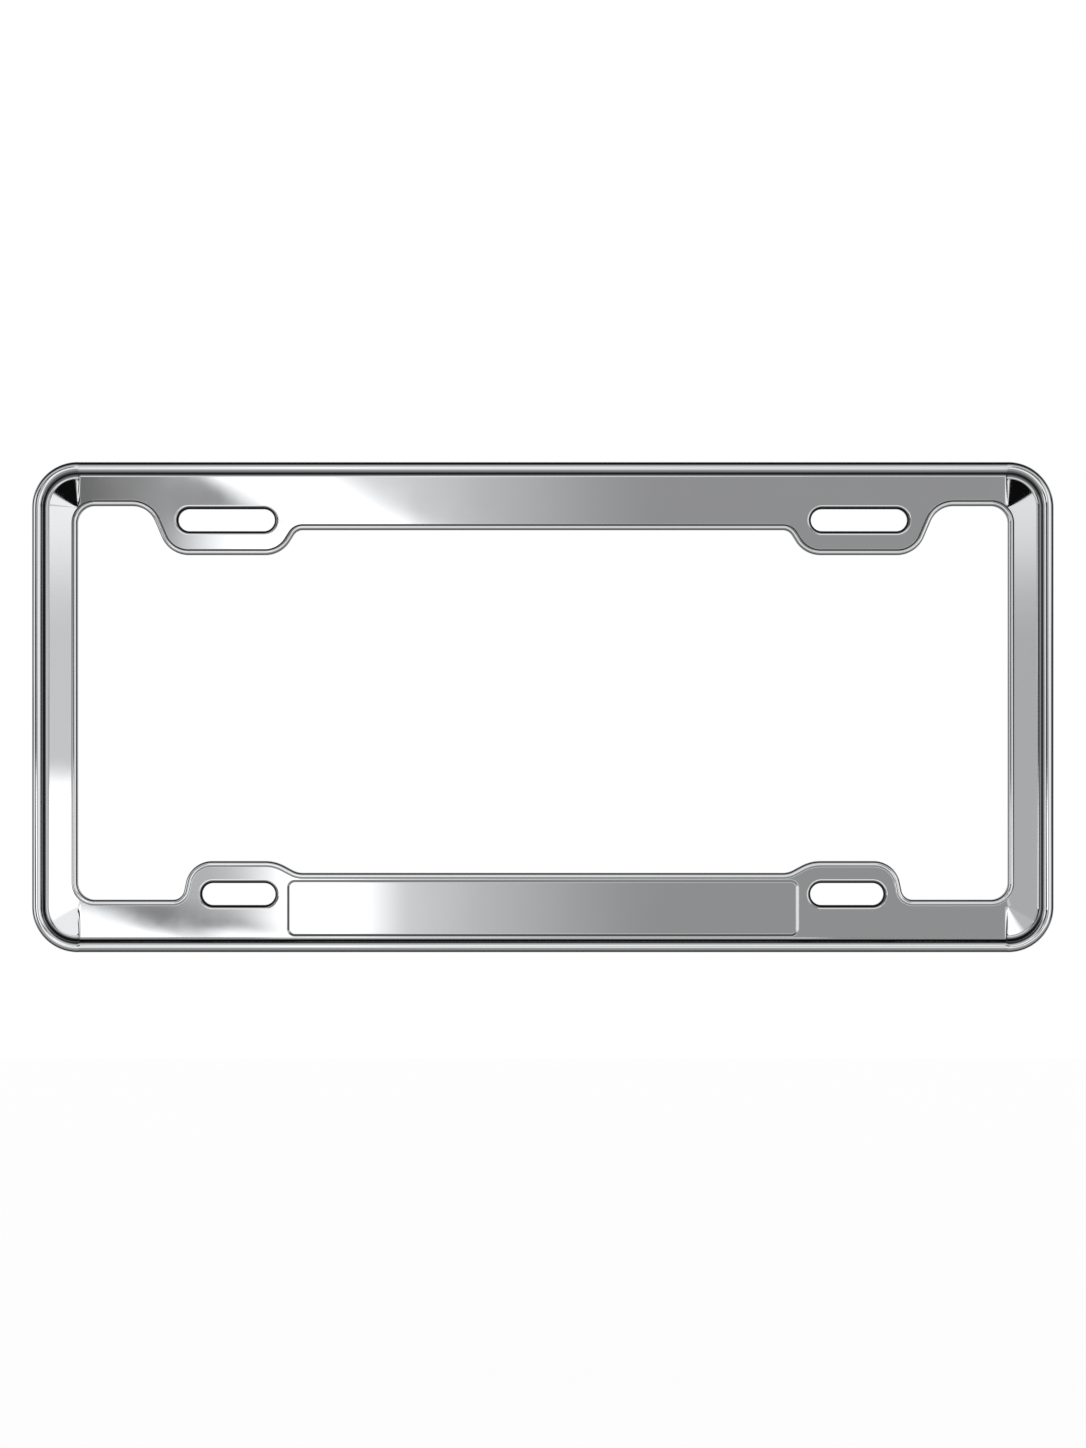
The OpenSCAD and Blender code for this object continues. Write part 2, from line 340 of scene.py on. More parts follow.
class Paths:
    """The lines in plan that the sections follow, as corners with radii."""

    HIP_STEPS = 8
    SLOT_STEPS = 28

    def __init__(self, sizes: CastingSizes) -> None:
        """Keeps the sizes."""
        self.sizes = sizes

    def outline(self) -> list[Corner]:
        """The casting's outer edge, clockwise, with stations in the hips beside its corners."""
        s = self.sizes
        x, y = s.length / 2, s.height / 2
        hips = [s.corner_x - s.hip_w * k / self.HIP_STEPS for k in range(1, self.HIP_STEPS + 1)]
        top = [(-hip, y, 0.0) for hip in hips] + [(hip, y, 0.0) for hip in reversed(hips)]
        bottom = [(hip, -y, 0.0) for hip in hips] + [(-hip, -y, 0.0) for hip in reversed(hips)]
        r = s.corner_r
        return [(-x, -y, r), (-x, y, r), *top, (x, y, r), (x, -y, r), *bottom]

    def window(self) -> list[Corner]:
        """The window's edge, anticlockwise, round its four lugs."""
        s = self.sizes
        x = s.length / 2 - s.side_w
        top = s.height / 2 - s.top_w
        top_end = s.height / 2 - s.top_end_w
        bottom_end = s.bottom_end_w - s.height / 2
        lower = s.lower_lug.corners(s.lower_spacing / 2, s.bottom_y, s.lower_tip_y, bottom_end)
        upper = s.upper_lug.corners(s.upper_spacing / 2, top, s.upper_tip_y, top_end)
        right = [*lower, (x, bottom_end, s.window_r), (x, top_end, s.window_r), *reversed(upper)]
        return right + [(-px, py, r) for px, py, r in reversed(right)]

    def slots(self) -> list[list[Corner]]:
        """The edges of the four slots, anticlockwise."""
        s = self.sizes
        edges = []
        for spacing, y, w in ((s.upper_spacing, s.row_y, s.upper_slot_w),
                              (s.lower_spacing, -s.row_y, s.lower_slot_w)):
            run = (w - s.slot_h) / 2
            for x in (spacing / 2, -spacing / 2):
                right = arc((x + run, y), s.slot_h / 2, -90.0, 90.0, self.SLOT_STEPS)
                left = arc((x - run, y), s.slot_h / 2, 90.0, 270.0, self.SLOT_STEPS)
                edges.append([(px, py, 0.0) for px, py in right + left])
        return edges

    def panel(self) -> list[Corner]:
        """The edge of the sunk panel, anticlockwise."""
        s = self.sizes
        x = s.panel_w / 2
        low = s.cove[0] + s.panel_land - s.height / 2
        high = s.bottom_y - s.lip_foot - s.panel_land
        return [(x, low, s.panel_r), (x, high, s.panel_r), (-x, high, s.panel_r), (-x, low, s.panel_r)]


def place_object(name: str, data: bpy.types.ID) -> bpy.types.Object:
    """Makes an object of a mesh, curve or camera and links it into the scene."""
    made = bpy.data.objects.new(name, data)
    bpy.context.scene.collection.objects.link(made)
    return made


class Tree:
    """A node tree with short ways to add nodes and links."""

    def __init__(self, tree: bpy.types.NodeTree) -> None:
        """Wraps a node tree."""
        self.tree = tree

    @classmethod
    def emptied(cls, owner: bpy.types.Material | bpy.types.World) -> "Tree":
        """Empties the nodes of a material or world and wraps them."""
        owner.use_nodes = True
        owner.node_tree.nodes.clear()
        return cls(owner.node_tree)

    def socket(self, name: str, kind: str, output: bool = False, value: Any = None) -> None:
        """Adds a named socket to the tree's interface.

        Args:
            name: The socket's name.
            kind: Its type, such as Float.
            output: Whether it is an output.
            value: Its default value.
        """
        made = self.tree.interface.new_socket(
            name=name, in_out="OUTPUT" if output else "INPUT", socket_type="NodeSocket" + kind)
        if value is not None:
            made.default_value = value

    def add(self, kind: str, inputs: dict[Any, Any] | None = None, **settings: Any) -> bpy.types.Node:
        """Adds a node.

        Args:
            kind: The node's type.
            inputs: Values or output sockets by input name or number.
            settings: The node's own properties.

        Returns:
            The node.
        """
        node = self.tree.nodes.new(kind)
        for name, value in settings.items():
            setattr(node, name, value)
        for key, value in (inputs or {}).items():
            if isinstance(value, bpy.types.NodeSocket):
                self.tree.links.new(value, node.inputs[key])
            else:
                node.inputs[key].default_value = value
        return node

    def math(self, operation: str, *values: Any) -> bpy.types.NodeSocket:
        """Adds a Math node and gives its output."""
        return self.add("ShaderNodeMath", dict(enumerate(values)), operation=operation).outputs[0]

    def vector(self, operation: str, *values: Any) -> bpy.types.NodeSocket:
        """Adds a Vector Math node and gives its vector output."""
        return self.add("ShaderNodeVectorMath", dict(enumerate(values)), operation=operation).outputs[0]

    def link(self, start: bpy.types.NodeSocket, end: bpy.types.NodeSocket) -> None:
        """Links two sockets."""
        self.tree.links.new(start, end)


class PathSweep:
    """Carries a section along a path with Geometry Nodes.

    Past the hips beside the casting's corners the section turns into a second one.
    """

    CORNER_STEPS = 26

    def __init__(self, sizes: CastingSizes, material: bpy.types.Material) -> None:
        """Builds the tree and keeps what every sweep shares."""
        self.sizes = sizes
        self.material = material
        self.tree = self._build()

    def _build(self) -> bpy.types.NodeTree:
        """Builds the tree."""
        group = bpy.data.node_groups.new("Section along a path", "GeometryNodeTree")
        tree = Tree(group)
        for name in ("Path", "Section", "Corner Section"):
            tree.socket(name, "Object")
        tree.socket("Corner Steps", "Int", value=self.CORNER_STEPS)
        tree.socket("Hip Start", "Float")
        tree.socket("Hip End", "Float")
        tree.socket("Material", "Material")
        tree.socket("Mesh", "Geometry", output=True)
        given = tree.add("NodeGroupInput").outputs

        path, section, corner_section = (
            tree.add("GeometryNodeObjectInfo", {"Object": given[name]}).outputs["Geometry"]
            for name in ("Path", "Section", "Corner Section"))
        radius = tree.add("GeometryNodeInputRadius").outputs[0]
        rounded = tree.add("GeometryNodeFilletCurve", {
            "Curve": path, "Count": given["Corner Steps"], "Radius": radius}, mode="POLY")
        upright = tree.add("GeometryNodeSetCurveNormal", {"Curve": rounded.outputs[0]}, mode="Z_UP")

        place = tree.add("GeometryNodeInputPosition").outputs[0]
        kept_path = tree.add("GeometryNodeCaptureAttribute", {"Geometry": upright.outputs[0]})
        kept_path.capture_items.new("VECTOR", "Place")
        kept_path.capture_items.new("VECTOR", "Inward")
        tree.link(place, kept_path.inputs[1])
        tree.link(tree.add("GeometryNodeInputNormal").outputs[0], kept_path.inputs[2])
        kept_section = tree.add("GeometryNodeCaptureAttribute", {"Geometry": section})
        kept_section.capture_items.new("VECTOR", "Point")
        kept_section.capture_items.new("INT", "Number")
        tree.link(place, kept_section.inputs[1])
        tree.link(tree.add("GeometryNodeInputIndex").outputs[0], kept_section.inputs[2])
        swept = tree.add("GeometryNodeCurveToMesh", {
            "Curve": kept_path.outputs[0], "Profile Curve": kept_section.outputs[0]})

        other = tree.add("GeometryNodeSampleIndex", {"Geometry": corner_section}, data_type="FLOAT_VECTOR")
        tree.link(place, other.inputs["Value"])
        tree.link(kept_section.outputs[2], other.inputs["Index"])
        shift = tree.add("ShaderNodeSeparateXYZ", {
            0: tree.vector("SUBTRACT", other.outputs[0], kept_section.outputs[1])}).outputs
        inward = tree.add("ShaderNodeVectorMath", {0: kept_path.outputs[2], "Scale": shift[0]},
                          operation="SCALE").outputs[0]
        upward = tree.add("ShaderNodeCombineXYZ", {2: tree.math("MULTIPLY", shift[1], -1.0)}).outputs[0]
        along = tree.add("ShaderNodeSeparateXYZ", {0: kept_path.outputs[1]}).outputs[0]
        run = tree.add("ShaderNodeMapRange", {
            "Value": tree.math("ABSOLUTE", along), "From Min": given["Hip Start"],
            "From Max": given["Hip End"]}, clamp=True).outputs[0]
        offset = tree.add("ShaderNodeVectorMath", {
            0: tree.vector("ADD", inward, upward), "Scale": tree.math("MULTIPLY", run, run)},
            operation="SCALE").outputs[0]
        moved = tree.add("GeometryNodeSetPosition", {"Geometry": swept.outputs[0], "Offset": offset})
        real = tree.add("GeometryNodeRealizeInstances", {"Geometry": moved.outputs[0]})
        dressed = tree.add("GeometryNodeSetMaterial", {
            "Geometry": real.outputs[0], "Material": given["Material"]})
        tree.add("NodeGroupOutput", {0: dressed.outputs[0]})
        return group

    @staticmethod
    def _curve(name: str, splines: list[list[Corner]], closed: bool) -> bpy.types.Object:
        """Draws a curve object.

        Args:
            name: The object's name.
            splines: Corners of each spline, with a radius that the tree reads.
            closed: Whether the splines close.

        Returns:
            The object, linked into the scene.
        """
        curve = bpy.data.curves.new(name, "CURVE")
        curve.dimensions = "3D"
        for corners in splines:
            spline = curve.splines.new("POLY")
            spline.points.add(len(corners) - 1)
            for point, (x, y, radius) in zip(spline.points, corners):
                point.co = (x, y, 0.0, 1.0)
                point.radius = radius
            spline.use_cyclic_u = closed
        return place_object(name, curve)

    def run(self, name: str, splines: list[list[Corner]], section: list[SectionPoint],
            corner_section: list[SectionPoint] | None = None) -> tuple[np.ndarray, list[Face]]:
        """Sweeps a section along closed paths.

        Args:
            name: What the sweep makes.
            splines: The paths.
            section: The section's points.
            corner_section: The points past the hips, if they differ.

        Returns:
            The places, in millimetres as rings by stations, and the faces.
        """
        s = self.sizes
        drawn = [self._curve(name + "_path", splines, True)]
        for end, points in (("_section", section), ("_corner_section", corner_section or section)):
            drawn.append(self._curve(name + end, [[(u, -z, 0.0) for u, z in points]], False))
        carrier = place_object(name, bpy.data.meshes.new(name))
        modifier = carrier.modifiers.new("Sweep", "NODES")
        modifier.node_group = self.tree
        values = dict(zip(("Path", "Section", "Corner Section"), drawn))
        values |= {"Hip Start": s.corner_x - s.hip_w, "Hip End": s.corner_x, "Material": self.material}
        for item in self.tree.interface.items_tree:
            if item.in_out == "INPUT" and item.name in values:
                modifier[item.identifier] = values[item.name]
        graph = bpy.context.evaluated_depsgraph_get()
        mesh = bpy.data.meshes.new_from_object(carrier.evaluated_get(graph))
        places = np.empty(len(mesh.vertices) * 3, np.float32)
        mesh.vertices.foreach_get("co", places)
        faces = [tuple(face.vertices) for face in mesh.polygons]
        for piece in (carrier, *drawn):
            data = piece.data
            bpy.data.objects.remove(piece)
            (bpy.data.meshes if isinstance(data, bpy.types.Mesh) else bpy.data.curves).remove(data)
        bpy.data.meshes.remove(mesh)
        return places.astype(float).reshape(-1, len(section), 3), faces


class Casting:
    """The plate frame itself: swept edges with the bars' sheets between them, as one closed mesh."""

    NAME = "plate_frame"
    NODE = "frame"
    BODY = "root"
    SLOT = "chrome"
    # Extra points where the sheets bend: rings and rows of them, and their least gap to the edges
    CONE_RINGS = (1.2, 2.4, 3.6, 4.8, 6.0, 7.0)
    CONE_STEPS = 26
    HIP_ROWS = 14
    SIDE_ROWS = 6
    SPOT_DIGITS = 6
    SPOT_GAP = 0.15
    MERGE_GAP = 1e-6
    SHARP_ANGLE = math.radians(24.0)
    # A normal is read this share of the way in to its face's middle, from heights this step apart
    NORMAL_SHARE = 0.02
    NORMAL_STEP = 1e-3
    # Painted shade where the rim's bead meets its cove or trough: its reach and its shift inwards
    PAINTED_SHADE_RUN = 0.75
    PAINTED_SHADE_SHIFT = 0.15
    # Painted shade: a dark line along the foot of the window's bead, and dark edges of the slots
    PAINTED_FOOT_SHADE_RUN = 0.35
    PAINTED_FOOT_SHADE_SHARE = 0.9
    PAINTED_SLOT_SHADE_RUN = 0.55
    PAINTED_SLOT_SHADE_SHARE = 0.96

    def __init__(self, sizes: CastingSizes, material: bpy.types.Material) -> None:
        """Keeps the sizes and starts an empty mesh."""
        self.sizes = sizes
        self.material = material
        self.places: list[np.ndarray] = []
        self.count = 0
        self.faces: list[Face] = []
        self.sheets: list[tuple[int, int, Height, Side]] = []
        self.seams: dict[int, tuple[Height, Side]] = {}
        self.painted_shades: list[np.ndarray] = []
        self.backs: list[np.ndarray] = []

    def _take(self, places: np.ndarray, faces: list[Face], painted_shade: np.ndarray | float = 0.0,
              back: np.ndarray | float = 0.0) -> np.ndarray:
        """Adds points and faces to the mesh.

        Args:
            places: The points, as rings by stations or as a list.
            faces: Faces by the points' numbers.
            painted_shade: Share of painted shade at each point, from 0 to 1.
            back: Share of the back's duller finish at each point, from 0 to 1.

        Returns:
            The points' numbers in the mesh, in the shape of places.
        """
        flat = places.reshape(-1, 3)
        numbers = np.arange(len(flat)) + self.count
        self.places.append(flat)
        self.faces += [tuple(int(v) + self.count for v in face) for face in faces]
        shape = places.shape[:-1]
        self.painted_shades.append(np.broadcast_to(painted_shade, shape).ravel())
        self.backs.append(np.broadcast_to(back, shape).ravel())
        self.count += len(flat)
        return numbers.reshape(shape)

    def _sheet(self, loops: list[np.ndarray], inner: np.ndarray, height: Height, side: Side) -> None:
        """Fills the plan between loops of the mesh's points with triangles.

        Args:
            loops: The outer edge and the holes, each as point numbers in order.
            inner: Extra points inside, in plan.
            height: Gives the sheet's height.
            side: Which way it faces.
        """
        numbers = np.concatenate(loops)
        plan = np.concatenate(self.places)[numbers][:, :2]
        edges, start = [], 0
        for loop in loops:
            n = len(loop)
            edges += [(start + k, start + (k + 1) % n) for k in range(n)]
            start += n
        points = np.concatenate([plan, inner])
        made, _, triangles, sources, _, _ = delaunay_2d_cdt(
            [Vector(p) for p in points], edges, [], 0, self.MERGE_GAP, True)
        heights = height(inner[:, 0], inner[:, 1])
        own = self._take(np.column_stack([inner, heights]), [], back=float(side is Side.BACK))
        known = np.concatenate([numbers, own])
        if not all(sources):
            raise ValueError("the edges of a sheet cross")
        target = [int(known[source[0]]) for source in sources]
        plan_made = np.array([tuple(p) for p in made])
        middles = plan_made[np.array(triangles)].mean(axis=1)
        inside = self._inside(middles, points[np.array(edges)])
        first = len(self.faces)
        for triangle, keep in zip(triangles, inside):
            if keep:
                self.faces.append(tuple(target[v] for v in triangle))
        self.sheets.append((first, len(self.faces), height, side))
        for number in numbers:
            self.seams[int(number)] = (height, side)

    @staticmethod
    def _inside(points: np.ndarray, edges: np.ndarray) -> np.ndarray:
        """Says which points lie inside a set of closed loops, by counting crossings.

        Args:
            points: The points, in plan.
            edges: The loops' edges, as pairs of points.

        Returns:
            A truth value for each point.
        """
        ax, ay = edges[:, 0, 0], edges[:, 0, 1]
        bx, by = edges[:, 1, 0], edges[:, 1, 1]
        inside = np.zeros(len(points), bool)
        for k, (x, y) in enumerate(points):
            spans = (ay > y) != (by > y)
            cross = ax[spans] + (y - ay[spans]) / (by[spans] - ay[spans]) * (bx[spans] - ax[spans])
            inside[k] = np.count_nonzero(cross > x) % 2 == 1
        return inside

    def _bends(self, outer: np.ndarray, holes: list[np.ndarray]) -> np.ndarray:
        """Chooses extra points where the bars' sheet isn't level: corners, hips and side bars.

        Args:
            outer: The sheet's outer edge, in plan.
            holes: Its holes, in plan.

        Returns:
            Points inside the sheet, clear of its edges.
        """
        s = self.sizes
        spots = []
        for r in self.CONE_RINGS:
            for k in range(self.CONE_STEPS + 1):
                angle = math.pi / 2 * k / self.CONE_STEPS
                spots.append((s.corner_x + r * math.cos(angle), s.corner_y + r * math.sin(angle)))
        for k in range(Paths.HIP_STEPS + 1):
            x = s.corner_x - s.hip_w * k / Paths.HIP_STEPS
            for row in range(self.HIP_ROWS):
                spots.append((x, s.corner_y + s.corner_r * row / self.HIP_ROWS))
        for r in self.CONE_RINGS:
            for k in range(1, 2 * self.SIDE_ROWS):
                spots.append((s.corner_x + r, s.corner_y * (1 - k / self.SIDE_ROWS)))
        spread = np.array(spots)
        spread = np.concatenate([spread * sign for sign in ((1, 1), (-1, 1), (1, -1), (-1, -1))])
        spread = np.unique(np.round(spread, self.SPOT_DIGITS), axis=0)
        edges = [np.stack([loop, np.roll(loop, -1, axis=0)], axis=1) for loop in (outer, *holes)]
        spread = spread[self._inside(spread, np.concatenate(edges))]
        rims = np.concatenate([outer, *holes])
        gaps = np.min(np.hypot(*(spread[:, None, :] - rims[None, :, :]).transpose(2, 0, 1)), axis=1)
        return spread[gaps > self.SPOT_GAP]

    def build(self) -> bpy.types.Object:
        """Builds the casting and gives its object."""
        s = self.sizes
        sections, paths = Sections(s), Paths(s)
        sweep = PathSweep(s, self.material)
        rim = self._rim(sweep, paths, sections)
        lip = self._lip(sweep, paths, sections)
        slots = self._slots(sweep, paths, sections)
        panel = self._panel(sweep, paths, sections)
        LOG.info("swept edges: %d points", self.count)
        spots = np.concatenate(self.places)
        front_holes = [lip[:, -1], panel[:, -1], *[slot[:, -1] for slot in slots]]
        bends = self._bends(spots[rim[:, -1], :2], [spots[hole, :2] for hole in front_holes])
        self._sheet([rim[:, -1], *front_holes], bends, s.front_height, Side.FRONT)
        back_holes = [lip[:, 0], *[slot[:, 0] for slot in slots]]
        bends = self._bends(spots[rim[:, 0], :2], [spots[hole, :2] for hole in back_holes])
        self._sheet([rim[:, 0], *back_holes], bends, s.back_height, Side.BACK)
        self._sheet([panel[:, 0]], np.empty((0, 2)), s.panel_height, Side.FRONT)
        return self._finish()

    def _rim(self, sweep: PathSweep, paths: Paths, sections: Sections) -> np.ndarray:
        """Sweeps the rim and gives its points' numbers.

        Shade is painted dark where the bead meets the cove or trough. The last point gets none, because
        the wide face shares it.
        """
        s = self.sizes
        flat, sloping = sections.rim(False), sections.rim(True)
        places, faces = sweep.run("rim", [paths.outline()], flat, sloping)
        junction = len(flat) - 1 - Sections.HOLLOW_STEPS
        # Distance from where the bead ends, negative on the bead's side
        run = np.array([math.dist(point, flat[junction]) for point in flat])
        run[:junction] *= -1.0
        painted_shade = np.exp(-((run - self.PAINTED_SHADE_SHIFT) / self.PAINTED_SHADE_RUN) ** 2)
        painted_shade[-1] = 0.0
        back = np.array([float(u > 0.0 and z <= s.seat_z) for u, z in flat])
        return self._take(places, faces, painted_shade, back)

    def _lip(self, sweep: PathSweep, paths: Paths, sections: Sections) -> np.ndarray:
        """Sweeps the window's bead, sets its foot on the bars' face and gives its points' numbers."""
        s = self.sizes
        section = sections.lip()
        places, faces = sweep.run("lip", [paths.window()], section)
        drop = s.face_z - s.front_height(places[..., 0], places[..., 1])
        weight = np.zeros(len(section))
        weight[-Sections.FILLET_STEPS:] = np.arange(1, Sections.FILLET_STEPS + 1) / Sections.FILLET_STEPS
        places[..., 2] -= drop * weight
        # Painted shade: a dark line along the bead's foot, where its fillet meets the face
        run = s.lip_foot - np.array([u for u, _ in section])
        foot = self.PAINTED_FOOT_SHADE_SHARE * np.exp(-((run - s.lip_fillet_r) / self.PAINTED_FOOT_SHADE_RUN) ** 2)
        foot[-1] = 0.0
        # The painted shade along the foot lies only on the bead above the plate's middle
        upper = np.clip(places[..., 1] / s.lip_foot, 0.0, 1.0)
        return self._take(places, faces, foot * upper, self._first_point(section))

    def _slots(self, sweep: PathSweep, paths: Paths, sections: Sections) -> list[np.ndarray]:
        """Sweeps the four slots' edges and gives their points' numbers, a slot at a time."""
        splines = paths.slots()
        section = sections.slot()
        places, faces = sweep.run("slots", splines, section)
        # Painted shade: dark in full up to one run from the slot's wall, and not at all from two
        painted_shade_mask = np.array([min(1.0, max(0.0, 2.0 - u / self.PAINTED_SLOT_SHADE_RUN)) for u, _ in section])
        numbers = self._take(places, faces, painted_shade_mask * self.PAINTED_SLOT_SHADE_SHARE, self._first_point(section))
        return np.split(numbers, np.cumsum([len(spline) for spline in splines])[:-1])

    @staticmethod
    def _first_point(section: list[SectionPoint]) -> np.ndarray:
        """Marks the point of a section that lies on the back."""
        return np.array([1.0] + [0.0] * (len(section) - 1))

    def _panel(self, sweep: PathSweep, paths: Paths, sections: Sections) -> np.ndarray:
        """Sweeps the sunk panel's edge and gives its points' numbers."""
        places, faces = sweep.run("panel", [paths.panel()], sections.panel())
        return self._take(places, faces)

    def _finish(self) -> bpy.types.Object:
        """Joins what was made into one mesh, stands it up and sets its normals."""
        s = self.sizes
        places = np.concatenate(self.places)
        standing = np.column_stack([places[:, 0], s.depth / 2 - places[:, 2], places[:, 1]]) * MM
        mesh = bpy.data.meshes.new(self.NAME)
        mesh.from_pydata(standing.tolist(), [], self.faces)
        for mark, values in ((Mark.PAINTED_SHADE, self.painted_shades), (Mark.BACK, self.backs)):
            layer = mesh.attributes.new(mark.value, "FLOAT", "POINT")
            layer.data.foreach_set("value", np.concatenate(values).astype(np.float32))
        form = bmesh.new()
        form.from_mesh(mesh)
        bmesh.ops.recalc_face_normals(form, faces=form.faces)
        open_edges = sum(1 for edge in form.edges if not edge.is_manifold)
        volume = form.calc_volume(signed=True)
        form.to_mesh(mesh)
        form.free()
        LOG.info("%s: %d faces, %d open edges, %.1f mm3", self.NAME, len(mesh.polygons), open_edges,
                 volume / MM ** 3)
        self._set_normals(mesh, places)
        mesh.materials.append(self.material)
        return place_object(self.NAME, mesh)

    def _set_normals(self, mesh: bpy.types.Mesh, places: np.ndarray) -> None:
        """Shades the sweeps smooth, the sheets true to their heights and both alike where they meet.

        Args:
            mesh: The standing mesh.
            places: Its points, lying.
        """
        mesh.polygons.foreach_set("use_smooth", [True] * len(mesh.polygons))
        mesh.set_sharp_from_angle(angle=self.SHARP_ANGLE)
        normals = np.empty(len(mesh.loops) * 3, np.float32)
        mesh.corner_normals.foreach_get("vector", normals)
        normals = normals.reshape(-1, 3).astype(float)
        points = np.empty(len(mesh.loops), np.int32)
        mesh.loops.foreach_get("vertex_index", points)
        sheet_of = np.full(len(mesh.polygons), -1)
        for number, (first, last, _, _) in enumerate(self.sheets):
            sheet_of[first:last] = number
        for face in mesh.polygons:
            number = sheet_of[face.index]
            middle = places[list(face.vertices)].mean(axis=0)
            for loop in face.loop_indices:
                point = int(points[loop])
                if number >= 0:
                    height, side = self.sheets[number][2:]
                    normals[loop] = self._normal(height, side, places[point], middle)
                elif point in self.seams and self._tangent(point):
                    height, side = self.seams[point]
                    normals[loop] = self._normal(height, side, places[point], places[point])
        mesh.normals_split_custom_set(normals.tolist())

    def _tangent(self, point: int) -> bool:
        """Whether the sweep at a seam's point runs smoothly into the sheet."""
        return self.seams[point][1] is Side.FRONT

    def _normal(self, height: Height, side: Side, place: np.ndarray,
                toward: np.ndarray) -> tuple[float, float, float]:
        """Normal of a sheet at a point, on the side of a crease where a face lies.

        Args:
            height: The sheet's height.
            side: Which way it faces.
            place: The point, lying.
            toward: The middle of the face, lying.

        Returns:
            The standing normal.
        """
        x = place[0] + (toward[0] - place[0]) * self.NORMAL_SHARE
        y = place[1] + (toward[1] - place[1]) * self.NORMAL_SHARE
        step = self.NORMAL_STEP
        xs = np.array([x - step, x + step, x, x])
        ys = np.array([y, y, y - step, y + step])
        z = height(xs, ys)
        slope_x, slope_y = (z[1] - z[0]) / (2 * step), (z[3] - z[2]) / (2 * step)
        scale = side.value / math.sqrt(slope_x ** 2 + slope_y ** 2 + 1.0)
        return -slope_x * scale, -scale, -slope_y * scale


class FinishGroups:
    """Effects that the finishes share, as shader node groups that give only masks and normals."""

    def __init__(self) -> None:
        """Builds the groups."""
        self.haze = self._haze()
        self.relief = self._relief()

    @staticmethod
    def _start(name: str, values: dict[str, float], result: str, kind: str = "Float",
               ) -> tuple[bpy.types.NodeTree, Tree, Any]:
        """Starts a group that reads a place and named values.

        Args:
            name: The group's name.
            values: Its inputs with their defaults.
            result: Name of its output.
            kind: Type of the output.

        Returns:
            The group, its wrapper and its inputs.
        """
        group = bpy.data.node_groups.new(name, "ShaderNodeTree")
        tree = Tree(group)
        tree.socket("Place", "Vector")
        for title, value in values.items():
            tree.socket(title, "Float", value=value)
        tree.socket(result, kind, output=True)
        return group, tree, tree.add("NodeGroupInput").outputs

    def _haze(self) -> bpy.types.NodeTree:
        """Soft patches where the plating is a little less bright."""
        group, tree, given = self._start("Haze", {"Scale": 55.0, "Low": 0.35, "High": 0.75}, "Mask")
        noise = tree.add("ShaderNodeTexNoise", {
            "Vector": given["Place"], "Scale": given["Scale"], "Detail": 3.0}).outputs[0]
        mask = tree.add("ShaderNodeMapRange", {
            "Value": noise, "From Min": given["Low"], "From Max": given["High"]}).outputs[0]
        tree.add("NodeGroupOutput", {0: mask})
        return group

    def _relief(self) -> bpy.types.NodeTree:
        """Fine relief from noise, as a normal."""
        group, tree, given = self._start(
            "Relief", {"Scale": 38.0, "Detail": 1.0, "Strength": 0.02, "Depth": 0.001}, "Normal", "Vector")
        noise = tree.add("ShaderNodeTexNoise", {
            "Vector": given["Place"], "Scale": given["Scale"], "Detail": given["Detail"]}).outputs[0]
        bump = tree.add("ShaderNodeBump", {
            "Strength": given["Strength"], "Distance": given["Depth"], "Height": noise})
        tree.add("NodeGroupOutput", {0: bump.outputs[0]})
        return group


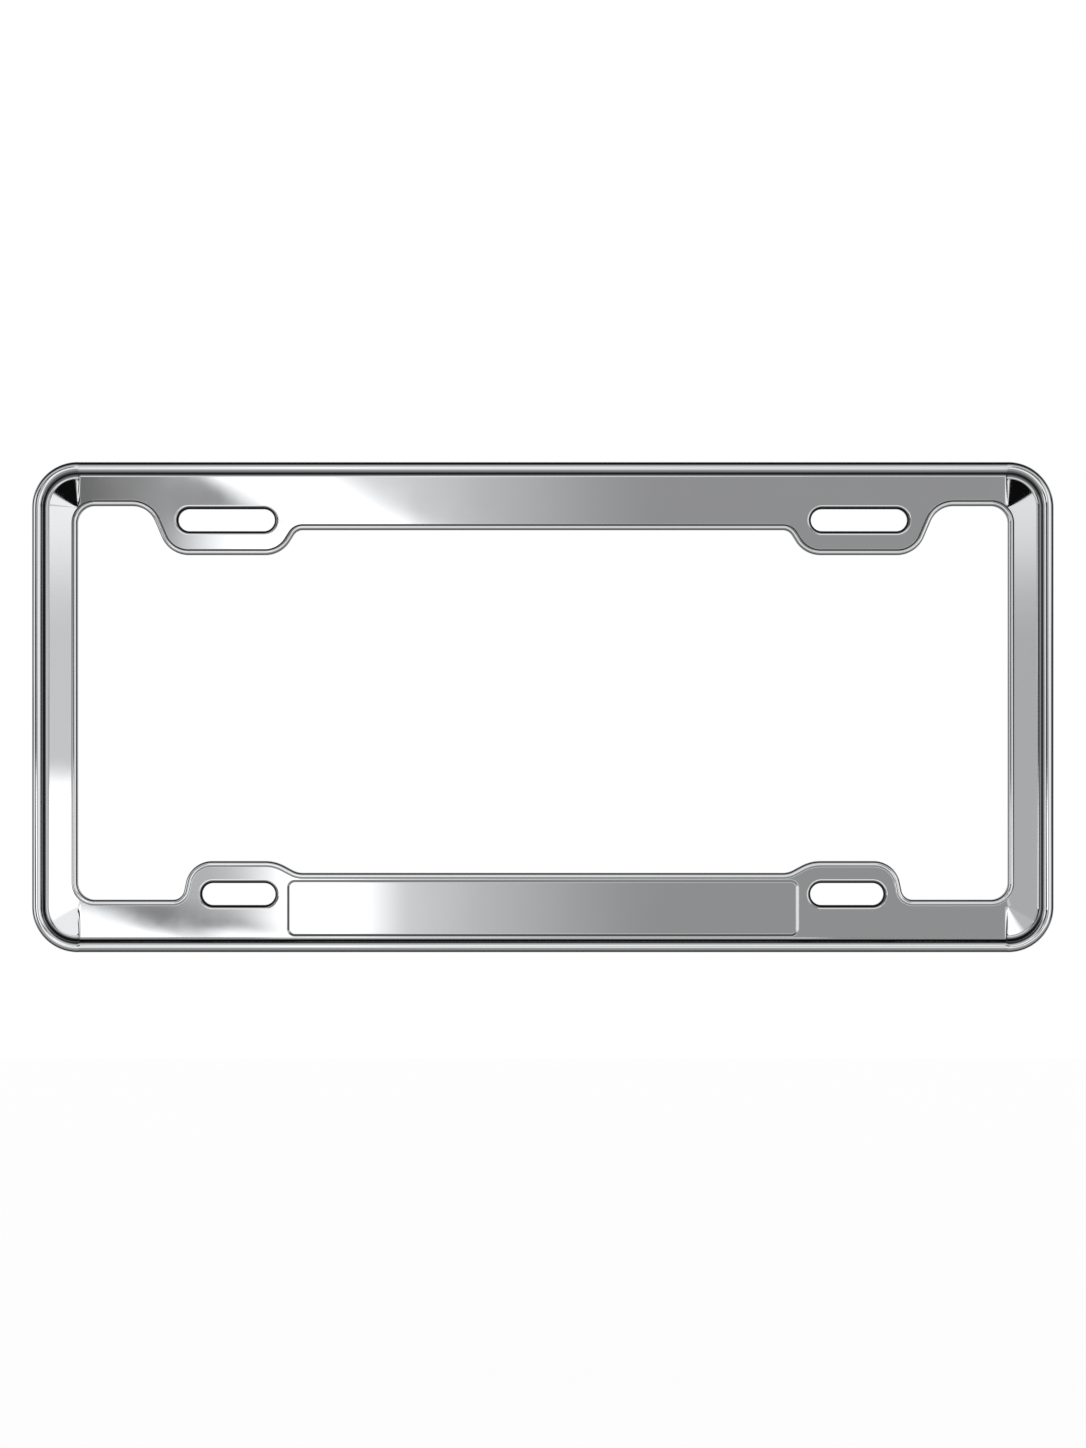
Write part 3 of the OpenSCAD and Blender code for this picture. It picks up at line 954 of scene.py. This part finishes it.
@dataclass(frozen=True)
class BrightPlating:
    """Bright chromium over polished zinc: a mirror in front, dull as cast behind.

    Shade is painted dark where the rim's bead meets its cove, along the window's bead's foot and round the
    slots.
    """

    colour: Colour = (0.655, 0.66, 0.67, 1.0)
    # Colour that the painted shade darkens the plating towards
    painted_shade_colour: Colour = (0.015, 0.015, 0.017, 1.0)
    back_colour: Colour = (0.5, 0.505, 0.52, 1.0)
    roughness: float = 0.02
    haze_roughness: float = 0.03
    painted_shade_roughness: float = 0.04
    back_roughness: float = 0.34
    ripple_strength: float = 0.012
    grain_scale: float = 1900.0
    grain_detail: float = 4.0
    grain_depth: float = 0.0002
    grain_strength: float = 0.12

    def material(self, groups: FinishGroups) -> bpy.types.Material:
        """Builds the material.

        Args:
            groups: The shared effects.

        Returns:
            The material.
        """
        made = bpy.data.materials.new("bright_chromium")
        tree = Tree.emptied(made)
        place = tree.add("ShaderNodeTexCoord").outputs["Object"]
        # The first attribute is painted shade: it darkens the colour and roughens the finish a little
        painted_shade_mask, back = (tree.add("ShaderNodeAttribute", attribute_name=mark.value).outputs["Fac"]
                        for mark in (Mark.PAINTED_SHADE, Mark.BACK))
        front = tree.add("ShaderNodeMix", {0: painted_shade_mask, 6: self.colour, 7: self.painted_shade_colour},
                         data_type="RGBA").outputs[2]
        colour = tree.add("ShaderNodeMix", {0: back, 6: front, 7: self.back_colour},
                          data_type="RGBA").outputs[2]

        rough: Any = self.roughness
        for mask, share in (
                (self._effect(tree, groups.haze, place), self.haze_roughness),
                (painted_shade_mask, self.painted_shade_roughness),
                (back, self.back_roughness)):
            rough = tree.math("MULTIPLY_ADD", mask, share, rough)

        ripple = self._effect(tree, groups.relief, place, Strength=self.ripple_strength)
        grain = self._effect(tree, groups.relief, place, Scale=self.grain_scale, Detail=self.grain_detail,
                             Depth=self.grain_depth, Strength=self.grain_strength)
        normal = tree.add("ShaderNodeMix", {0: back, 4: ripple, 5: grain}, data_type="VECTOR").outputs[1]
        shader = tree.add("ShaderNodeBsdfPrincipled", {
            "Base Color": colour, "Roughness": rough, "Metallic": 1.0, "Normal": normal})
        tree.add("ShaderNodeOutputMaterial", {"Surface": shader.outputs[0]})
        return made

    @staticmethod
    def _effect(tree: Tree, group: bpy.types.NodeTree, place: bpy.types.NodeSocket,
                **values: float) -> bpy.types.NodeSocket:
        """Adds a shared effect.

        Args:
            tree: The material's nodes.
            group: The effect.
            place: Where it is read.
            values: Its inputs that differ from their defaults.

        Returns:
            The effect's output.
        """
        node = tree.add("ShaderNodeGroup", node_tree=group)
        tree.link(place, node.inputs["Place"])
        for name, value in values.items():
            node.inputs[name].default_value = value
        return node.outputs[0]


class Run(Enum):
    """Which way a card of the studio is long."""

    ACROSS = "across"
    UPRIGHT = "upright"


@dataclass(frozen=True)
class Card:
    """A long soft-edged card that the plating mirrors, placed by direction from the object.

    A card that runs across is placed by its angle up from the camera, and one that runs upright by its
    angle to the right. Its length is given by the sine of the angle to either side of that. Its ends
    lean by a shift in that sine for each degree.
    """

    name: str
    run: Run
    low: float
    high: float
    level: float
    soft: float = 3.0
    start: float = -2.0
    end: float = 2.0
    end_soft: float = 0.1
    lean: float = 0.0


@dataclass(frozen=True)
class Studio:
    """The plain studio: a grey room with soft cards round it, a pale floor and the camera."""

    room_level: float = 0.5
    floor_z: float = -0.26
    floor_size: float = 3.0
    floor_colour: Colour = (0.86, 0.86, 0.86, 1.0)
    floor_roughness: float = 0.8
    floor_glow: float = 0.75
    distance: float = 1.0927
    image_w: float = 1086.0
    image_h: float = 1448.0
    object_px: float = 1023.1
    centre_px: tuple[float, float] = (542.85, 707.1)
    sensor: float = 36.0
    # A card's numbers: its two angles, level and softness, then its ends, their softness and their lean
    cards: tuple[Card, ...] = (
        # Above and below, for the top and bottom bars' beads
        Card("upper light", Run.ACROSS, 5, 22, 1.4, 2),
        Card("upper grey", Run.ACROSS, 22, 46, 0.75, 5),
        Card("upper shade", Run.ACROSS, 56, 78, 0.12, 6),
        Card("ceiling flag", Run.ACROSS, 74, 128, 0.005, 3),
        Card("lower light", Run.ACROSS, -26, -5.5, 1.35, 1),
        Card("lower grey", Run.ACROSS, -58, -27, 0.48, 3),
        Card("floor shade", Run.ACROSS, -88, -58, 0.32, 5),
        Card("floor flag", Run.ACROSS, -130, -86, 0.02, 3),
        # Left and right, for the side bars' beads
        Card("left shade", Run.UPRIGHT, -18.5, -8.5, 0.25, 0.6, -0.2, 0.2),
        Card("left dark", Run.UPRIGHT, -46, -18.5, 0.02, 3, -0.3, 0.3),
        Card("left light", Run.UPRIGHT, -80, -54, 1.15, 3, -0.3, 0.3),
        Card("left flag", Run.UPRIGHT, -120, -84, 0.06, 3, -0.3, 0.3),
        Card("right grey", Run.UPRIGHT, 8.5, 18.5, 0.8, 0.6, -0.2, 0.2),
        Card("right light", Run.UPRIGHT, 20, 44, 1.45, 2, -0.3, 0.3),
        Card("right pale", Run.UPRIGHT, 44, 62, 0.85, 4, -0.3, 0.3),
        Card("right flag", Run.UPRIGHT, 66, 120, 0.03, 3, -0.3, 0.3),
        # Towards the corners
        Card("left corner flag", Run.ACROSS, 8.5, 20, 0.005, 1, -0.4, -0.148, 0.01),
        Card("right corner flag", Run.ACROSS, 7.5, 20, 0.005, 1, 0.148, 0.4, 0.01),
        Card("left corner light", Run.ACROSS, -18, -4.5, 1.25, 1, -0.36, -0.146, 0.01),
        Card("right corner grey", Run.ACROSS, -14, -4.5, 0.7, 1, 0.146, 0.36, 0.01),
        Card("right corner light", Run.ACROSS, -20, -14, 1.6, 1, 0.146, 0.36, 0.01),
        # In front, for the side bars' faces
        Card("left face", Run.UPRIGHT, -21.5, -18.7, 0.83, 0.3, -0.2, 0.2),
        Card("left face above", Run.UPRIGHT, -21.5, -18.7, 1.3, 0.3, 0.045, 0.2, 0.02),
        Card("left face below", Run.UPRIGHT, -21.5, -18.7, 1.6, 0.3, -0.2, -0.025, 0.015),
        Card("right face", Run.UPRIGHT, 18.7, 21.5, 0.6, 0.3, -0.2, 0.2),
        Card("right face above", Run.UPRIGHT, 18.7, 21.5, 1.1, 0.3, 0.045, 0.2, 0.02),
        # In front, for the faces of the top and bottom bars
        Card("front", Run.ACROSS, -5.3, 5.2, 0.41, 0.4, -0.145, 0.145, 0.01),
        Card("front middle glow", Run.ACROSS, -5.3, 5.2, 0.78, 0.4, -0.145, -0.002, 0.04),
        Card("front left glow", Run.ACROSS, -5.3, 5.2, 1.15, 0.4, -0.145, -0.046, 0.03),
        Card("front left window", Run.ACROSS, 0.5, 5.2, 2.0, 0.4, 0.025, 0.062, 0.012, -0.03),
        Card("front left grey", Run.ACROSS, 0.5, 5.2, 0.43, 0.4, -0.2, 0.026, 0.006, -0.03),
        Card("front left gleam", Run.ACROSS, 0.5, 3.4, 1.8, 0.25, -0.1, -0.048, 0.015),
        Card("front left edge", Run.ACROSS, 0.5, 5.2, 0.22, 0.4, -0.17, -0.122, 0.014),
        Card("front low window", Run.ACROSS, -5.3, -1, 2.0, 0.4, -0.078, -0.05, 0.012),
        Card("front low pale", Run.ACROSS, -5.3, -1, 0.66, 0.4, -0.2, -0.086, 0.012),
        Card("front low grey", Run.ACROSS, -5.3, -1, 0.34, 0.4, -0.31, -0.28, 0.014, -0.058),
        Card("front low gleam", Run.ACROSS, -5, -3.45, 1.7, 0.1, -0.1, -0.07, 0.01),
        Card("front low edge", Run.ACROSS, -5.3, -1, 2.0, 0.4, -0.6, -0.312, 0.005, -0.058),
    )

    def world(self) -> None:
        """Lights the scene from all round; the camera sees the room as plain white."""
        made = bpy.data.worlds.new("studio")
        bpy.context.scene.world = made
        tree = Tree.emptied(made)
        mask = self._card_group()
        facing = tree.add("ShaderNodeTexCoord").outputs["Generated"]
        x, y, z = tree.add("ShaderNodeSeparateXYZ", {0: facing}).outputs
        forward = tree.math("MULTIPLY", y, -1.0)
        sides = {
            Run.ACROSS: (tree.math("DEGREES", tree.math("ARCTAN2", z, forward)), x),
            Run.UPRIGHT: (tree.math("DEGREES", tree.math("ARCTAN2", x, forward)), z),
        }
        level: Any = self.room_level
        for card in self.cards:
            angle, along = sides[card.run]
            node = tree.add("ShaderNodeGroup", node_tree=mask)
            node.label = card.name
            for name, value in (("Angle", angle), ("Along", along)):
                tree.link(value, node.inputs[name])
            for name, value in (("Low", card.low), ("High", card.high), ("Soft", card.soft),
                                ("Start", card.start), ("End", card.end), ("End Soft", card.end_soft),
                                ("Lean", card.lean)):
                node.inputs[name].default_value = value
            level = tree.add("ShaderNodeMix", {0: node.outputs[0], 2: level, 3: card.level},
                             data_type="FLOAT").outputs[0]
        rays = tree.add("ShaderNodeLightPath").outputs["Is Camera Ray"]
        light, seen = (tree.add("ShaderNodeBackground", {"Color": WHITE, "Strength": strength})
                       for strength in (level, 1.0))
        shown = tree.add("ShaderNodeMixShader", {0: rays, 1: light.outputs[0], 2: seen.outputs[0]})
        tree.add("ShaderNodeOutputWorld", {"Surface": shown.outputs[0]})

    @staticmethod
    def _card_group() -> bpy.types.NodeTree:
        """Builds the mask of a soft-edged card seen in a direction."""
        group = bpy.data.node_groups.new("Soft card", "ShaderNodeTree")
        tree = Tree(group)
        for name in ("Angle", "Along", "Low", "High", "Soft", "Start", "End", "End Soft", "Lean"):
            tree.socket(name, "Float")
        tree.socket("Mask", "Float", output=True)
        given = tree.add("NodeGroupInput").outputs
        along = tree.math("SUBTRACT", given["Along"], tree.math("MULTIPLY", given["Angle"], given["Lean"]))
        masks = []
        for value, low, high, soft in ((given["Angle"], "Low", "High", "Soft"),
                                       (along, "Start", "End", "End Soft")):
            inside = tree.math("MINIMUM", tree.math("SUBTRACT", value, given[low]),
                               tree.math("SUBTRACT", given[high], value))
            masks.append(tree.add("ShaderNodeMapRange", {
                "Value": inside, "From Min": tree.math("MULTIPLY", given[soft], -1.0),
                "From Max": given[soft]}, interpolation_type="SMOOTHSTEP").outputs[0])
        tree.add("NodeGroupOutput", {0: tree.math("MULTIPLY", *masks)})
        return group

    def floor(self) -> None:
        """Lays the pale floor."""
        half = self.floor_size / 2
        mesh = bpy.data.meshes.new("floor")
        plan = ((-half, -half), (half, -half), (half, half), (-half, half))
        mesh.from_pydata([(x, y, self.floor_z) for x, y in plan], [], [(0, 1, 2, 3)])
        made = bpy.data.materials.new("pale_floor")
        tree = Tree.emptied(made)
        rays = tree.add("ShaderNodeLightPath").outputs["Is Camera Ray"]
        shader = tree.add("ShaderNodeBsdfPrincipled", {
            "Base Color": self.floor_colour, "Roughness": self.floor_roughness, "Emission Color": WHITE,
            "Emission Strength": tree.math("MULTIPLY", rays, self.floor_glow)})
        tree.add("ShaderNodeOutputMaterial", {"Surface": shader.outputs[0]})
        mesh.materials.append(made)
        floor = place_object("floor", mesh)
        floor.visible_glossy = False

    def camera(self, length: float, front: float) -> None:
        """Sets the camera square to the front, at the photograph's scale.

        Args:
            length: The object's real length.
            front: Y of the front of the bars.
        """
        scale = length / self.object_px
        data = bpy.data.cameras.new("camera")
        data.sensor_width = self.sensor
        data.lens = self.sensor * self.distance / (self.image_h * scale)
        made = place_object("camera", data)
        x = (self.image_w / 2 - self.centre_px[0]) * scale
        z = (self.centre_px[1] - self.image_h / 2) * scale
        made.location = (x, front - self.distance, z)
        made.rotation_euler = (math.pi / 2, 0.0, 0.0)
        bpy.context.scene.camera = made


def main() -> None:
    """Builds the casting, the studio and the camera."""
    logging.basicConfig(level=logging.INFO, format="%(name)s: %(message)s")
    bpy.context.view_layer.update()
    low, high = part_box(Casting.NODE)
    length, depth, height = ((high[k] - low[k]) / MM for k in range(3))
    sizes = CastingSizes(length, height, depth)
    studio = Studio()
    studio.camera(length * MM, low[1])
    casting = Casting(sizes, BrightPlating().material(FinishGroups()))
    piece = casting.build()
    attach(piece, Casting.BODY)
    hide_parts(Casting.NODE)
    LOG.info("built %s", piece.name)
    studio.floor()
    studio.world()
    bpy.context.scene.view_settings.view_transform = "Standard"


if __name__ == "__main__":
    main()
